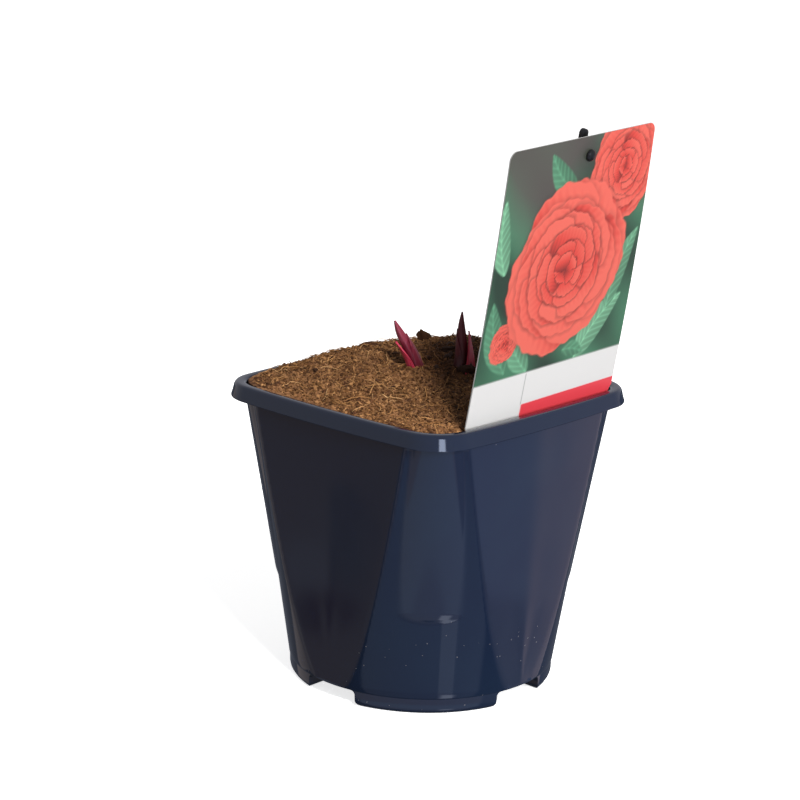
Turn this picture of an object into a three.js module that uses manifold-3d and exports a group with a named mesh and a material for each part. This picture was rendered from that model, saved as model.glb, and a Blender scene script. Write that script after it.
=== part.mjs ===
// A dormant Chinese peony in its two-litre nursery pot: square at the rim, round at the foot.
// The pot is full of coir compost, two red shoots have just come up from the buried crown,
// and a picture card on a black stake stands at one side. Millimetres, +Z up.

import * as THREE from 'three';
import { mergeVertices } from 'three/addons/utils/BufferGeometryUtils.js';
import Module from 'manifold-3d';

const wasm = await Module();
wasm.setup();

// Driving dimensions of the pot
const potHeight = 145;
const rimHalfSide = 71.8;
const rimCornerRadius = 19.9;
const sideBow = 1.7;
const skirtHeight = 7.1;
const skirtFlare = 2.2;
const skirtWall = 1.5;
const rimBand = 4.1;
const wall = 1.6;
const bodyHalfSideTop = 67.6;
const bodyHalfSideFoot = 64.6;
const cornerReachTop = 88.2;
const cornerTaper = 0.179;
const cornerEnd = 43;
const cornerEndFade = 10;
const cornerStep = 1.5;
const roundRadiusFoot = 65.4;
const roundTaper = 0.15;
const footHeight = 8;
const footRadius = 65;
const footEdge = 3;
const channelHalfWidth = 15.3;
const channelFillet = 2.5;
const drainRadius = 4;
const drainFromAxis = 47;

// Driving dimensions of what stands in the pot
const gap = 0.3;
const soilRings = 20;
const soilBelowRim = 1.8;
const moundPeak = [-10, 28];
const moundHeight = 15.5;
const moundReach = [34, 58];
const moundTurn = -32;
const clodSize = 13;
const clodHeight = 0.9;
const cardWidth = 105;
const cardHeight = 148;
const cardThickness = 0.6;
const cardCornerRadius = 4;
const cardBuried = 15.8;
const cardBow = 1.5;
const cardTwist = 1.9;
const cardFoot = [64.8, 4.9];
const cardFootTaper = [9, 17];
const cardLean = 10.3;
const cardTilt = 2.2;
const cardYaw = 1.6;
const stakeWidth = 4.2;
const stakeThickness = 2.6;
const stakeBehindCard = 4.7;
const stakeAboveCard = 1.8;
const stakeBuried = 52;
const studBelowTop = 9;
const studAcross = 4.5;
const studRadius = 1.6;
const studHeadRadius = 2.8;
const leftShoot = [-2.2, -6.4];
const rightShoot = [12.4, 9.8];
const crownTop = 125;

const degree = Math.PI / 180;
const finishes = {
  pot: new THREE.MeshStandardMaterial({ color: '#252e4c', roughness: 0.3, metalness: 0 }),
  soil: new THREE.MeshStandardMaterial({ color: '#5c4031', roughness: 0.95, metalness: 0 }),
  crown: new THREE.MeshStandardMaterial({ color: '#6b4a35', roughness: 0.9, metalness: 0 }),
  shoot: new THREE.MeshStandardMaterial({ color: '#76203a', roughness: 0.45, metalness: 0 }),
  card: new THREE.MeshStandardMaterial({ color: '#c2362f', roughness: 0.35, metalness: 0 }),
  stake: new THREE.MeshStandardMaterial({ color: '#141518', roughness: 0.4, metalness: 0 }),
};

// Solids: a closed geometry becomes a solid that can be joined and cut, and the other way round
function solid(geometry) {
  const bare = geometry.clone();
  bare.deleteAttribute('normal');
  bare.deleteAttribute('uv');
  const merged = mergeVertices(bare, 1e-4);
  return new wasm.Manifold(new wasm.Mesh({
    numProp: 3,
    vertProperties: new Float32Array(merged.attributes.position.array),
    triVerts: new Uint32Array(merged.index.array),
  }));
}

function geometryOf(body) {
  const { numProp, vertProperties, triVerts } = body.getMesh();
  const places = new Float32Array((vertProperties.length / numProp) * 3);
  for (let i = 0; i < places.length / 3; i += 1) {
    places.set(vertProperties.subarray(i * numProp, i * numProp + 3), i * 3);
  }
  const geometry = new THREE.BufferGeometry();
  geometry.setAttribute('position', new THREE.BufferAttribute(places, 3));
  geometry.setIndex(new THREE.BufferAttribute(new Uint32Array(triVerts), 1));
  geometry.computeVertexNormals();
  return geometry;
}

// A closed skin over rings, each anticlockwise seen from the last one, with both ends closed to
// their middle points. Between rings of equally many points each cell is parted along its
// shorter diagonal, and rings of unlike counts are joined by fans.
function loft(rings) {
  const middle = (ring) => ring.reduce((sum, p) => sum.add(p), new THREE.Vector3())
    .divideScalar(ring.length);
  const points = [...rings.flat(), middle(rings[0]), middle(rings.at(-1))];
  const faces = [];
  let start = 0;
  rings[0].forEach((_, i) => faces.push(points.length - 2, (i + 1) % rings[0].length, i));
  for (let k = 0; k + 1 < rings.length; k += 1) {
    const [n, m] = [rings[k].length, rings[k + 1].length];
    const low = (i) => start + (i % n);
    const high = (j) => start + n + (j % m);
    const span = (i, j) => points[low(i)].distanceTo(points[high(j)]);
    for (let [i, j] = [0, 0]; i < n || j < m;) {
      const lead = (i + 1) / n - (j + 1) / m;
      const level = Math.abs(lead) < 0.5 / Math.max(n, m);
      const lowFirst = j === m || (i < n && (level ? span(i + 1, j) < span(i, j + 1) : lead < 0));
      faces.push(low(i), lowFirst ? low(i + 1) : high(j + 1), high(j));
      [i, j] = lowFirst ? [i + 1, j] : [i, j + 1];
    }
    start += n;
  }
  const last = rings.at(-1).length;
  rings.at(-1).forEach((_, i) => faces.push(start + i, start + ((i + 1) % last), points.length - 1));
  const geometry = new THREE.BufferGeometry().setFromPoints(points);
  geometry.setIndex(faces);
  return geometry;
}

// The pot's plan shapes, as the reach from the axis at an angle off the nearest corner's diagonal.
// A bowed square with round corners serves the rim and skirt.
function squareReach(off, halfSide, radius, bow) {
  const inner = halfSide - radius;
  const fromSide = Math.PI / 4 - Math.abs(off);
  const along = (Math.tan(fromSide) * halfSide) / inner;
  const flat = (halfSide + bow * Math.max(0, 1 - along * along)) / Math.cos(fromSide);
  const diagonal = inner * Math.SQRT2;
  const across = diagonal * Math.sin(off);
  const corner = diagonal * Math.cos(off) + Math.sqrt(Math.max(radius * radius - across * across, 0));
  return along < 1 ? flat : corner;
}

// The body is a round tapered pot, cut by four flat sides, with a corner cone that grows out of
// its upper part at each diagonal
function bodyReach(off, z) {
  const rise = (z - footHeight) / (potHeight - skirtHeight - footHeight);
  const halfSide = bodyHalfSideFoot + (bodyHalfSideTop - bodyHalfSideFoot) * rise;
  const ended = Math.min(Math.max(1 - (z - cornerEnd) / cornerEndFade, 0), 1);
  const reach = cornerReachTop - cornerTaper * (potHeight - skirtHeight - z) - cornerStep * ended;
  const radius = Math.min((Math.SQRT2 * halfSide - reach) / (Math.SQRT2 - 1), halfSide - 1);
  const square = squareReach(off, halfSide, radius, sideBow * rise);
  const fromSide = Math.PI / 4 - Math.abs(off);
  const side = (halfSide + sideBow * rise) / Math.cos(fromSide);
  return Math.max(square, Math.min(roundRadiusFoot + roundTaper * (z - footHeight), side));
}

// Rings round the axis have their points closer together at the corners
const ringSides = 88;

function ringAt(z, reach, sides = ringSides) {
  const quarter = sides / 4;
  return Array.from({ length: sides }, (_, i) => {
    const share = (2 * (i % quarter)) / quarter - 1;
    const off = Math.sign(share) * (Math.PI / 4) * Math.abs(share) ** 1.25;
    const angle = Math.PI / 4 + (Math.PI / 2) * Math.floor(i / quarter) + off;
    const r = reach(off);
    return new THREE.Vector3(r * Math.cos(angle), r * Math.sin(angle), z);
  });
}

const bodyLevels = [footHeight + 0.8, 30, cornerEnd, cornerEnd + cornerEndFade, 66, 80, 110, potHeight - 2];
const liningLevels = [footHeight + 2.5, 30, cornerEnd, cornerEnd + cornerEndFade, 110];
const skirtBottom = potHeight - skirtHeight;
const roundRing = (z, radius) => ringAt(z, () => radius);
const bodyRing = (z, inset) => ringAt(z, (off) => bodyReach(off, z) - inset);
const rimRing = (z, halfSide, radius) => ringAt(z, (off) => squareReach(off, halfSide, radius, sideBow));

const footRings = [
  roundRing(0, footRadius - footEdge),
  roundRing(0.3 * footEdge, footRadius - 0.3 * footEdge),
  roundRing(footEdge, footRadius),
  roundRing(footHeight, footRadius + 0.2),
];

// Cross channels under the floor part the base into four feet; grown is the wall round a channel
function channels(grown) {
  const half = channelHalfWidth + grown;
  const top = footHeight + grown;
  const flare = grown > 0 ? 0 : footEdge;
  const fillet = channelFillet + grown;
  const profile = new THREE.Shape();
  profile.moveTo(-half - flare, -2);
  profile.lineTo(-half - flare, 0);
  profile.quadraticCurveTo(-half, 0, -half, flare);
  profile.lineTo(-half, top - fillet);
  profile.quadraticCurveTo(-half, top, -half + fillet, top);
  profile.lineTo(half - fillet, top);
  profile.quadraticCurveTo(half, top, half, top - fillet);
  profile.lineTo(half, flare);
  profile.quadraticCurveTo(half, 0, half + flare, 0);
  profile.lineTo(half + flare, -2);
  const length = 4 * footRadius;
  const run = new THREE.ExtrudeGeometry(profile, { depth: length, bevelEnabled: false, curveSegments: 4 });
  run.translate(0, 0, -length / 2).rotateX(Math.PI / 2);
  return solid(run).add(solid(run.clone().rotateZ(Math.PI / 2)));
}

function makePot() {
  const shell = solid(loft([
    ...footRings,
    ...bodyLevels.map((z) => bodyRing(z, 0)),
    rimRing(potHeight - 2, rimHalfSide - skirtWall + 0.3, rimCornerRadius - skirtWall),
    rimRing(skirtBottom, rimHalfSide + skirtFlare - skirtWall, rimCornerRadius + 1.5),
    rimRing(skirtBottom, rimHalfSide + skirtFlare, rimCornerRadius + 3),
    rimRing(potHeight - 1.3, rimHalfSide + 0.3, rimCornerRadius + 0.4),
    rimRing(potHeight - 0.4, rimHalfSide - 0.1, rimCornerRadius),
    rimRing(potHeight, rimHalfSide - 0.9, rimCornerRadius - 0.6),
    rimRing(potHeight, rimHalfSide - rimBand, rimCornerRadius - 2.6),
    rimRing(potHeight - 0.8, rimHalfSide - rimBand - 0.7, rimCornerRadius - 2.8),
    bodyRing(potHeight - 4, wall),
    ...liningLevels.toReversed().map((z) => bodyRing(z, wall)),
    roundRing(footHeight + 0.4, footRadius - wall + 0.3),
    roundRing(wall + footEdge, footRadius - wall),
    roundRing(wall, footRadius - wall - footEdge),
  ]));
  const filled = solid(loft([...footRings, ...bodyLevels.slice(0, 3).map((z) => bodyRing(z, 0))]));
  let pot = shell.add(channels(wall).intersect(filled)).subtract(channels(0));
  for (const side of [0, 1, 2, 3]) {
    const drain = new THREE.CylinderGeometry(drainRadius, drainRadius, 3 * footHeight, 16);
    drain.rotateX(Math.PI / 2).translate(drainFromAxis, 0, footHeight);
    pot = pot.subtract(solid(drain.rotateZ(side * 90 * degree)));
  }
  return pot;
}

// The soil's top: a mound that is highest behind the middle and lower again at the pot's wall,
// broken into clods by crossed waves. Share is how far out a point lies, from axis to wall.
function soilTop(x, y, share = 0) {
  const [dx, dy] = [x - moundPeak[0], y - moundPeak[1]];
  const [c, s] = [Math.cos(moundTurn * degree), Math.sin(moundTurn * degree)];
  const [u, v] = [(dx * c + dy * s) / moundReach[0], (dy * c - dx * s) / moundReach[1]];
  const nearWall = Math.max(0, (share - 0.8) / 0.2) ** 1.5;
  const mound = moundHeight * Math.exp(-(u * u + v * v) / 2) * (1 - 0.5 * nearWall);
  const crossed = (size, turn) => {
    const [p, q] = [x * Math.cos(turn) + y * Math.sin(turn), y * Math.cos(turn) - x * Math.sin(turn)];
    return Math.sin((6.28 * p) / size + turn) * Math.sin((6.28 * q) / (1.2 * size) + 2 * turn);
  };
  const clods = crossed(clodSize, 0.5) + 0.7 * crossed(0.66 * clodSize, 1.3) + 0.5 * crossed(1.7 * clodSize, 2.2);
  return potHeight - soilBelowRim + mound + clodHeight * clods;
}

function makeSoil() {
  const inset = wall + gap;
  const edgeZ = potHeight - 4;
  const rings = [
    roundRing(wall + gap, footRadius - inset - footEdge),
    roundRing(wall + gap + footEdge, footRadius - inset),
    roundRing(footHeight + 0.4, footRadius - inset),
    ...liningLevels.map((z) => bodyRing(z, inset)),
    bodyRing(edgeZ, inset),
  ];
  for (let k = soilRings; k > 0; k -= 1) {
    const share = k / (soilRings + 0.4);
    const sides = Math.max(8, 4 * Math.round((ringSides * share) / 4));
    const ring = ringAt(0, (off) => share * (bodyReach(off, edgeZ) - inset), sides);
    rings.push(ring.map(({ x, y }) => new THREE.Vector3(x, y, soilTop(x, y, share))));
  }
  return solid(loft(rings)).subtract(channels(wall + gap));
}

// Round, tapering growth along a smooth path; each knot gives a place and a radius, and grown
// makes the pocket that the same growth lies in
function growth(knots, sides, steps, grown = 0) {
  const path = new THREE.CatmullRomCurve3(knots.map(([x, y, z]) => new THREE.Vector3(x, y, z)));
  const girth = new THREE.CatmullRomCurve3(knots.map(([, , , r], i) => new THREE.Vector3(i, r, 0)));
  const frames = path.computeFrenetFrames(steps, false);
  const rings = Array.from({ length: steps + 1 }, (_, k) => {
    const t = path.getUtoTmapping(k / steps);
    const past = { 0: -grown, [steps]: grown }[k] ?? 0;
    const centre = path.getPoint(t).addScaledVector(path.getTangent(t), past);
    const radius = girth.getPoint(t).y + grown;
    return Array.from({ length: sides }, (_, i) => {
      const angle = (2 * Math.PI * i) / sides;
      return centre.clone()
        .addScaledVector(frames.normals[k], radius * Math.cos(angle))
        .addScaledVector(frames.binormals[k], radius * Math.sin(angle));
    });
  });
  return solid(loft(rings));
}

// The crown: a knobbly rootstock with dormant eyes on its shoulders and thick storage roots
function makeCrown(grown) {
  const [cx, cy] = [(leftShoot[0] + rightShoot[0]) / 2, (leftShoot[1] + rightShoot[1]) / 2];
  let crown = growth([
    [cx - 9, cy - 14, crownTop - 9, 5], [cx - 6, cy - 9, crownTop - 9, 8], [cx, cy, crownTop - 11, 9.5],
    [cx + 6, cy + 9, crownTop - 9, 8], [cx + 9, cy + 14, crownTop - 10, 4.5],
  ], 10, 8, grown);
  const roots = 6;
  for (let i = 0; i < roots; i += 1) {
    const turn = ((i + 0.35) / roots) * 2 * Math.PI;
    const [dx, dy] = [Math.cos(turn), Math.sin(turn)];
    const length = 50 + 9 * Math.sin(3.1 * i);
    crown = crown.add(growth([
      [cx + 3 * dx, cy + 3 * dy, crownTop - 12, 5], [cx + 12 * dx, cy + 12 * dy, crownTop - 22, 6.2],
      [cx + 20 * dx, cy + 18 * dy, crownTop - 20 - 0.4 * length, 5.4],
      [cx + 23 * dx, cy + 20 * dy, crownTop - 18 - 0.8 * length, 3.2],
      [cx + 24 * dx, cy + 22 * dy, crownTop - 18 - length, 1.2],
    ], 7, 7, grown));
  }
  for (const [x, y] of [[-9, 4], [2, -5], [11, 1]]) {
    const [px, py] = [cx + x, cy + y];
    crown = crown.add(growth([
      [px, py, crownTop - 9, 3.4], [px, py, crownTop - 3, 2.6], [px + 0.5, py, crownTop + 2, 0.7],
    ], 6, 3, grown));
  }
  return crown;
}

// A scale leaf hugs a shoot: a pointed blade, widest low down, that wraps part of the way round
// the spear, with its root sunk in the spear and its tip lifted off a little. Facing is the
// compass angle of its middle, anticlockwise from +X, and from and to are shares of the path.
function scaleLeaf(path, radiusAt, { from, to, facing, spread, lift, thick }) {
  const [across, along] = [6, 7];
  const place = (u, v, outside) => {
    const t = from + (to - from) * v;
    const ahead = path.getTangentAt(t);
    const east = new THREE.Vector3(1, 0, 0).addScaledVector(ahead, -ahead.x).normalize();
    const north = new THREE.Vector3().crossVectors(ahead, east);
    const width = spread * Math.max(0.05, 1 - v ** 2.2);
    const angle = (facing + u * width) * degree;
    const outer = radiusAt(t) + thick + lift * v * v;
    const radius = outside ? outer : Math.max(outer - thick - 0.5, 0.3 * outer);
    return path.getPointAt(t)
      .addScaledVector(east, radius * Math.cos(angle))
      .addScaledVector(north, radius * Math.sin(angle));
  };
  const rings = Array.from({ length: along + 1 }, (_, j) => {
    const v = j / along;
    const outside = Array.from({ length: across + 1 }, (_, i) => place((2 * i) / across - 1, v, true));
    const inside = Array.from({ length: across + 1 }, (_, i) => place(1 - (2 * i) / across, v, false));
    return [...outside, ...inside];
  });
  return solid(loft(rings));
}

// A shoot's knots are places off the point where it leaves the soil, each with a radius
function rooted([x, y], knots, spare = 0) {
  return knots.map(([dx, dy, dz, r]) => [x + dx, y + dy, soilTop(x, y) + dz, r + spare]);
}

// A shoot: a slim spear of rolled leaves that rises from the crown, wrapped in scale leaves
function makeShoot(knots, scales) {
  const path = new THREE.CatmullRomCurve3(knots.map(([x, y, z]) => new THREE.Vector3(x, y, z)));
  const girth = new THREE.CatmullRomCurve3(knots.map(([, , , r], i) => new THREE.Vector3(i, r, 0)));
  const radiusAt = (t) => girth.getPoint(path.getUtoTmapping(t)).y;
  return scales.reduce((shoot, scale) => shoot.add(scaleLeaf(path, radiusAt, scale)), growth(knots, 12, 12));
}

const leftKnots = [
  [3, 2, -32.5, 3.0], [2, 1.6, -15, 3.1], [0.6, 0.4, -5, 3.0], [-1.4, -1.2, 3, 2.8],
  [-4.2, -3.7, 10.5, 2.3], [-6.9, -6, 17, 1.4], [-8.4, -7.4, 21.5, 0.4],
];
const rightKnots = [
  [-2, -3, -32.5, 3.0], [-1.2, -1.8, -15, 3.1], [-0.4, -0.5, -5, 3.1], [0, 0, 3, 2.8],
  [-0.1, -0.1, 12, 2.2], [-0.1, -0.1, 20, 1.4], [0.2, 0.2, 26.3, 0.4],
];
const leftScales = [
  { from: 0.5, to: 0.86, facing: 40, spread: 95, lift: 0.3, thick: 0.7 },
  { from: 0.48, to: 0.77, facing: 250, spread: 58, lift: 1.5, thick: 0.9 },
];
const rightScales = [
  { from: 0.5, to: 0.88, facing: 225, spread: 95, lift: 0.2, thick: 0.7 },
  { from: 0.48, to: 0.81, facing: 15, spread: 58, lift: 0.9, thick: 1.0 },
];

// The card stands in its own frame: Y across, Z up from the rim's plane, +X its picture side
const cardTop = cardHeight - cardBuried;
const cardPlane = new THREE.Group();
cardPlane.position.set(cardFoot[0], cardFoot[1], potHeight);
cardPlane.rotation.set(cardTilt * degree, cardLean * degree, cardYaw * degree, 'ZYX');
cardPlane.updateMatrix();

// How far the card stands out of its plane: it bows most at the middle of its height, a little
// more at one edge, and is twisted towards its foot
function bow(y, z) {
  const up = (2 * (z + cardBuried)) / cardHeight - 1;
  const twisted = Math.tan(cardTwist * degree) * (1 - up) * (y / 2);
  return cardBow * (1 - up * up) * (1 + 0.25 * (y / cardWidth)) + twisted;
}

function makeCard(grown) {
  const [columns, rows, spare] = [6, 12, 2 + grown];
  const [width, height] = [cardWidth + 2 * spare, cardHeight + 2 * spare];
  const sheet = new THREE.BoxGeometry(cardThickness + 2 * grown, width, height, 1, columns, rows);
  sheet.translate(0, 0, cardHeight / 2 - cardBuried);
  const at = sheet.attributes.position;
  for (let i = 0; i < at.count; i += 1) {
    at.setX(i, at.getX(i) + bow(at.getY(i), at.getZ(i)));
  }
  const [half, low, high, r] = [cardWidth / 2 + grown, -cardBuried - grown, cardTop + grown, cardCornerRadius];
  const outline = new THREE.Shape();
  outline.moveTo(-half + cardFootTaper[0], low).lineTo(half - cardFootTaper[0], low);
  outline.lineTo(half, low + cardFootTaper[1]);
  outline.absarc(half - r, high - r, r, 0, Math.PI / 2, false);
  outline.absarc(-half + r, high - r, r, Math.PI / 2, Math.PI, false);
  outline.lineTo(-half, low + cardFootTaper[1]);
  const prism = new THREE.ExtrudeGeometry(outline, { depth: 30, bevelEnabled: false, curveSegments: 5 });
  prism.translate(0, 0, -15).rotateX(Math.PI / 2).rotateZ(Math.PI / 2);
  const hole = new THREE.CylinderGeometry(studRadius + gap, studRadius + gap, 30, 16);
  hole.rotateZ(Math.PI / 2).translate(0, studAcross, cardTop - studBelowTop);
  return solid(sheet).intersect(solid(prism)).subtract(solid(hole));
}

// The stake: a flat moulded stick behind the card, pointed in the soil, with a stud near its top
// that passes through the card and ends in a round head
function makeStake(grown) {
  const half = stakeWidth / 2 + grown;
  const [top, low] = [cardTop + stakeAboveCard, -stakeBuried];
  const outline = new THREE.Shape();
  outline.moveTo(0, low - grown).lineTo(half, low + 12).lineTo(half, top - half);
  outline.absarc(0, top - half, half, 0, Math.PI, false);
  outline.lineTo(-half, low + 12);
  const depth = stakeThickness + 2 * grown;
  const stick = new THREE.ExtrudeGeometry(outline, { depth, bevelEnabled: false, curveSegments: 6 });
  stick.translate(studAcross, 0, -depth / 2).rotateX(Math.PI / 2).rotateZ(Math.PI / 2);
  stick.translate(-stakeBehindCard, 0, 0);
  const studHeight = cardTop - studBelowTop;
  const face = bow(studAcross, studHeight) + cardThickness / 2 + gap;
  const profile = [
    [0, -stakeBehindCard], [studRadius, -stakeBehindCard], [studRadius, face], [studHeadRadius, face],
    [studHeadRadius, face + 0.7], [0.75 * studHeadRadius, face + 1.8], [0, face + 2.2],
  ].map(([r, along]) => new THREE.Vector2(r, along));
  const stud = new THREE.LatheGeometry(profile, 16);
  stud.rotateZ(-Math.PI / 2).translate(0, studAcross, studHeight);
  return solid(stick).add(solid(stud));
}

const inPlace = (body) => solid(geometryOf(body).applyMatrix4(cardPlane.matrix));
const shootLeft = rooted(leftShoot, leftKnots);
const shootRight = rooted(rightShoot, rightKnots);

// A shoot sits in a socket in the crown, and its hole in the soil clears its scale leaves
const socket = (knots) => growth(knots, 12, 12, gap);
const holeKnots = (point, knots) => rooted(point, knots.slice(0, 5), 1.4);
const shootHole = (point, knots) => growth(holeKnots(point, knots), 12, 8);

const crown = makeCrown(0).subtract(socket(shootLeft)).subtract(socket(shootRight));
const soil = makeSoil()
  .subtract(makeCrown(0.5))
  .subtract(shootHole(leftShoot, leftKnots))
  .subtract(shootHole(rightShoot, rightKnots))
  .subtract(inPlace(makeCard(gap)))
  .subtract(inPlace(makeStake(gap)));

const plant = new THREE.Group();

function place(name, body, material) {
  const mesh = new THREE.Mesh(geometryOf(body), material);
  mesh.name = name;
  return mesh;
}

cardPlane.add(place('label_card', makeCard(0), finishes.card));
cardPlane.add(place('label_stake', makeStake(0), finishes.stake));
plant.add(place('pot', makePot(), finishes.pot));
plant.add(place('soil', soil, finishes.soil));
plant.add(place('crown', crown, finishes.crown));
plant.add(place('shoot_left', makeShoot(shootLeft, leftScales), finishes.shoot));
plant.add(place('shoot_right', makeShoot(shootRight, rightScales), finishes.shoot));
plant.add(cardPlane);

// The origin is the bottom centre of the whole, so the pot's axis stands off it by half the
// card's overhang
const extent = new THREE.Box3().setFromObject(plant, true);
const centre = extent.getCenter(new THREE.Vector3());
plant.position.set(-centre.x, -centre.y, -extent.min.z);

const group = new THREE.Group();
group.add(plant);

export default group;
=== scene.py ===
# A potted Chinese peony at the start of its season: a glossy navy nursery pot, square at the rim
# and round at the foot, full of coir compost, with two crimson shoots and a picture card.

import math

import bpy
import numpy as np
from mathutils import Euler, Matrix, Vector
from mathutils.bvhtree import BVHTree


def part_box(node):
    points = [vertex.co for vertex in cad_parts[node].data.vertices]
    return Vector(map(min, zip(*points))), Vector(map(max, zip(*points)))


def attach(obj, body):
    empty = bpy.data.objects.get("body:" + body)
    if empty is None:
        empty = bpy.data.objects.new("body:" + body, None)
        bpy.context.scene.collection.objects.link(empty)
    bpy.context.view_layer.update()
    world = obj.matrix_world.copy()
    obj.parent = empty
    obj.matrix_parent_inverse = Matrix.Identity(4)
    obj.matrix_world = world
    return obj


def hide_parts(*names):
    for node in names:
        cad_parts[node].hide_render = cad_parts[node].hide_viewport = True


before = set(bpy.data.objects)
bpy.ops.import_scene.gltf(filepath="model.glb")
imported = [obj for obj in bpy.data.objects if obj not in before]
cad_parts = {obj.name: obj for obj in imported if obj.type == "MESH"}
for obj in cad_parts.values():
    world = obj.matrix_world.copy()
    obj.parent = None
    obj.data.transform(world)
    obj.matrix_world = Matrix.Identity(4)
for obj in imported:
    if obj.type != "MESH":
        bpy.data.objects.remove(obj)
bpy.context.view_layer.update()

# Pot: one moulding in navy polypropylene. A round tapered pot is cut by four flat sides, a cone
# grows out of its upper part at each corner, and a turned-down skirt stiffens the square rim.
# It stands on four feet, parted by cross channels that let water out.
MM = 0.001
pot_low, pot_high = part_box("pot")
pot_axis = (pot_low[0] + pot_high[0]) / 2
pot_height = pot_high[2]
rim_half_side = 71.8 * MM
rim_corner = 19.9 * MM
side_bow = 1.7 * MM
skirt_height = 7.1 * MM
skirt_flare = 2.2 * MM
skirt_wall = 1.5 * MM
rim_band = 4.1 * MM
wall = 1.6 * MM
body_half_side_top = 67.6 * MM
body_half_side_foot = 64.6 * MM
corner_reach_top = 88.2 * MM
corner_taper = 0.179
corner_end = 43 * MM
corner_end_fade = 10 * MM
corner_step = 1.5 * MM
round_radius_foot = 65.4 * MM
round_taper = 0.15
foot_height = 8 * MM
foot_radius = 65 * MM
foot_edge = 3 * MM
channel_half_width = 15.3 * MM
channel_fillet = 2.5 * MM
drain_radius = 4 * MM
drain_from_axis = 47 * MM
crease = 0.12 * MM
pot_spokes = 384


def softer_max(a, b, blend):
    """The larger of two values, rounded over where they meet."""
    return (a + b + np.sqrt((a - b) ** 2 + blend**2)) / 2


def square_reach(off, half_side, radius, bow):
    """How far a bowed square with round corners reaches, at angles off its corner's diagonal."""
    inner = half_side - radius
    from_side = math.pi / 4 - np.abs(off)
    along = np.tan(from_side) * half_side / inner
    flat = (half_side + bow * np.clip(1 - along**2, 0, 1)) / np.cos(from_side)
    diagonal = inner * math.sqrt(2)
    chord = np.maximum(radius**2 - (diagonal * np.sin(off)) ** 2, 0)
    return np.where(along < 1, flat, diagonal * np.cos(off) + np.sqrt(chord))


def body_reach(off, z):
    """How far the pot's wall reaches at height z."""
    rise = (z - foot_height) / (pot_height - skirt_height - foot_height)
    half_side = body_half_side_foot + (body_half_side_top - body_half_side_foot) * rise
    ended = np.clip(1 - (z - corner_end) / corner_end_fade, 0, 1)
    step = corner_step * ended**2 * (3 - 2 * ended)
    reach = corner_reach_top - corner_taper * (pot_height - skirt_height - z) - step
    radius = np.minimum((math.sqrt(2) * half_side - reach) / (math.sqrt(2) - 1), half_side - MM)
    square = square_reach(off, half_side, radius, side_bow * rise)
    side = (half_side + side_bow * rise) / np.cos(math.pi / 4 - np.abs(off))
    round_wall = round_radius_foot + round_taper * (z - foot_height)
    return softer_max(square, -softer_max(-round_wall, -side, crease), crease)


def spokes(count):
    """Angles off the nearest diagonal, closer together at the corners, and compass angles."""
    quarter = count // 4
    share = 2 * (np.arange(count) % quarter) / quarter - 1
    off = np.sign(share) * (math.pi / 4) * np.abs(share) ** 1.25
    return off, math.pi / 4 + (math.pi / 2) * (np.arange(count) // quarter) + off


def ring(z, reach):
    """A level ring round the pot's axis; reach is one radius, or one for each spoke."""
    off, turn = spokes(pot_spokes)
    radius = reach(off) if callable(reach) else np.full(pot_spokes, reach)
    return np.stack([pot_axis + radius * np.cos(turn), radius * np.sin(turn), np.full(pot_spokes, z)], 1)


def vertices_of(piece):
    at = np.empty(len(piece.data.vertices) * 3)
    piece.data.vertices.foreach_get("co", at)
    return at.reshape(-1, 3)


def place_vertices(piece, at):
    piece.data.vertices.foreach_set("co", at.ravel())


def pick(piece):
    """Selects one piece alone and makes it the active one."""
    bpy.ops.object.select_all(action="DESELECT")
    piece.select_set(True)
    bpy.context.view_layer.objects.active = piece


def add(operator, location=(0, 0, 0), **settings):
    """Adds one of Blender's primitives, with nothing else selected, and returns it."""
    bpy.ops.object.select_all(action="DESELECT")
    operator(location=location, **settings)
    return bpy.context.object


def stack_rings(name, rings):
    """Draws a tube up from a circle by extruding it ring by ring, closes both ends, and gives
    each ring its own outline. Returns the piece and the ring of each vertex."""
    count = len(rings[0])
    piece = add(bpy.ops.mesh.primitive_circle_add, vertices=count, radius=1)
    piece.name = piece.data.name = name
    bpy.ops.object.mode_set(mode="EDIT")
    bpy.ops.mesh.select_all(action="SELECT")
    for _ in rings[1:]:
        bpy.ops.mesh.extrude_region_move(TRANSFORM_OT_translate={"value": (0, 0, 1)})
    bpy.ops.mesh.select_all(action="SELECT")
    bpy.ops.mesh.fill_holes(sides=0)
    bpy.ops.object.mode_set(mode="OBJECT")
    at = vertices_of(piece)
    ring_of = np.rint(at[:, 2]).astype(int)
    spoke_of = np.rint(np.arctan2(at[:, 1], at[:, 0]) * count / (2 * math.pi)).astype(int) % count
    place_vertices(piece, np.array(rings)[ring_of, spoke_of])
    turn_outward(piece)
    return piece, ring_of


def turn_outward(piece):
    """Recalculates a closed piece's normals so that they point out."""
    pick(piece)
    bpy.ops.object.mode_set(mode="EDIT")
    bpy.ops.mesh.select_all(action="SELECT")
    bpy.ops.mesh.normals_make_consistent(inside=False)
    bpy.ops.object.mode_set(mode="OBJECT")


def combine(piece, tool, operation):
    """Joins a tool to a piece, cuts the piece with it or keeps what they share."""
    pick(piece)
    cut = piece.modifiers.new("combine", "BOOLEAN")
    cut.operation = operation
    cut.solver = "MANIFOLD"
    cut.object = tool
    bpy.ops.object.modifier_apply(modifier=cut.name)
    bpy.data.objects.remove(tool)


def smooth(piece, sharp_above=35):
    """Shades a piece smooth, apart from edges that turn by more than so many degrees."""
    pick(piece)
    bpy.ops.object.shade_smooth_by_angle(angle=math.radians(sharp_above))


def coat(piece, material):
    """Gives the whole piece one material, also where a cut left a slot of its own."""
    piece.data.materials.clear()
    piece.data.materials.append(material)


def rim_ring(z, half_side, radius):
    return ring(z, lambda off: square_reach(off, half_side, radius, side_bow))


def body_ring(z, inset=0.0):
    return ring(z, lambda off: body_reach(off, z) - inset)


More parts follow.
